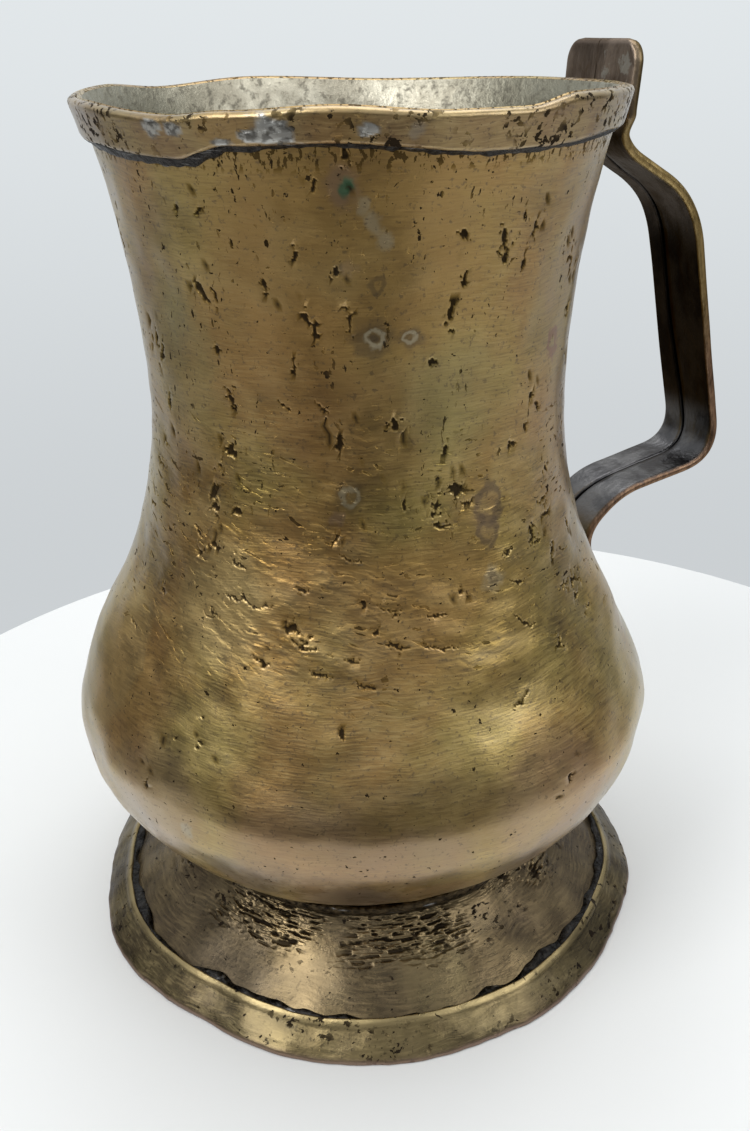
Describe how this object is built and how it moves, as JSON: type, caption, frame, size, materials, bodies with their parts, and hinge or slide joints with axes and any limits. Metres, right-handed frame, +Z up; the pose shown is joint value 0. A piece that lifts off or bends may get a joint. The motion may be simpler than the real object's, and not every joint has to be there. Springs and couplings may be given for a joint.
{
  "type": "tankard",
  "caption": "Open pear-shaped brass tankard with a banded mouth, a folded strap handle with a tab above the rim, and a flared foot.",
  "frame": {"origin": "on the floor, under the middle of the whole piece's box", "axes": "+Z up, +X from the vessel towards the handle, +Y across the handle"},
  "size_m": [0.1748, 0.1436, 0.2058],
  "materials": {
    "olive_brass": "hammered and patinated, satin",
    "golden_brass": "worn satin",
    "pink_brass": "pitted satin",
    "dark_brass": "dark patina, worn bright on the edges",
    "grey_solder": "dull grey tin-lead"
  },
  "bodies": {
    "root": {"body_shell": "olive_brass", "rim_band": "golden_brass", "rim_band_solder": "grey_solder", "base_disc": "olive_brass", "base_disc_solder": "grey_solder", "foot_skirt": "pink_brass", "body_foot_solder": "grey_solder", "foot_band": "golden_brass", "foot_band_solder": "grey_solder", "handle_strap": "dark_brass", "handle_top_solder": "grey_solder", "handle_lower_solder": "grey_solder"}
  },
  "joints": []
}
